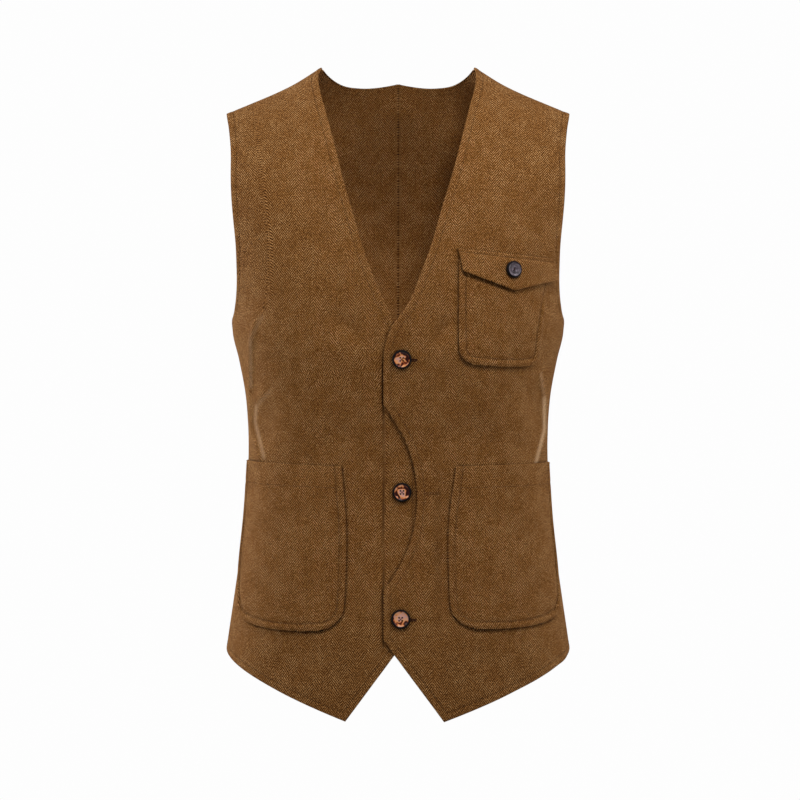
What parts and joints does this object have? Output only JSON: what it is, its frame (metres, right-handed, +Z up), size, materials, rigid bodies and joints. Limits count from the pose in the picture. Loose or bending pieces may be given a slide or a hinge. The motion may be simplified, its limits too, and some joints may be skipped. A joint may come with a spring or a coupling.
{
  "type": "suit waistcoat",
  "caption": "Single-breasted herringbone tweed waistcoat with a V neck, pointed hem, patch pockets and a flapped chest pocket, in its hollow worn form.",
  "frame": {"origin": "midway between the neck ends of the two shoulder seams, where the garment hangs on its wearer", "axes": "+Z up, the front faces -Y, +X is the wearer's left"},
  "size_m": [0.3544, 0.2463, 0.6654],
  "materials": {
    "tweed": "brown herringbone wool tweed with a soft nap",
    "horn": "polished mottled brown horn",
    "dark_horn": "polished near-black horn"
  },
  "bodies": {
    "root": {"front_left": "tweed", "front_right": "tweed", "back_left": "tweed", "back_right": "tweed", "hip_pocket_left": "tweed", "hip_pocket_right": "tweed", "chest_pocket": "tweed", "chest_flap": "tweed", "button_top": "horn", "button_middle": "horn", "button_bottom": "horn", "flap_button": "dark_horn"}
  },
  "joints": []
}
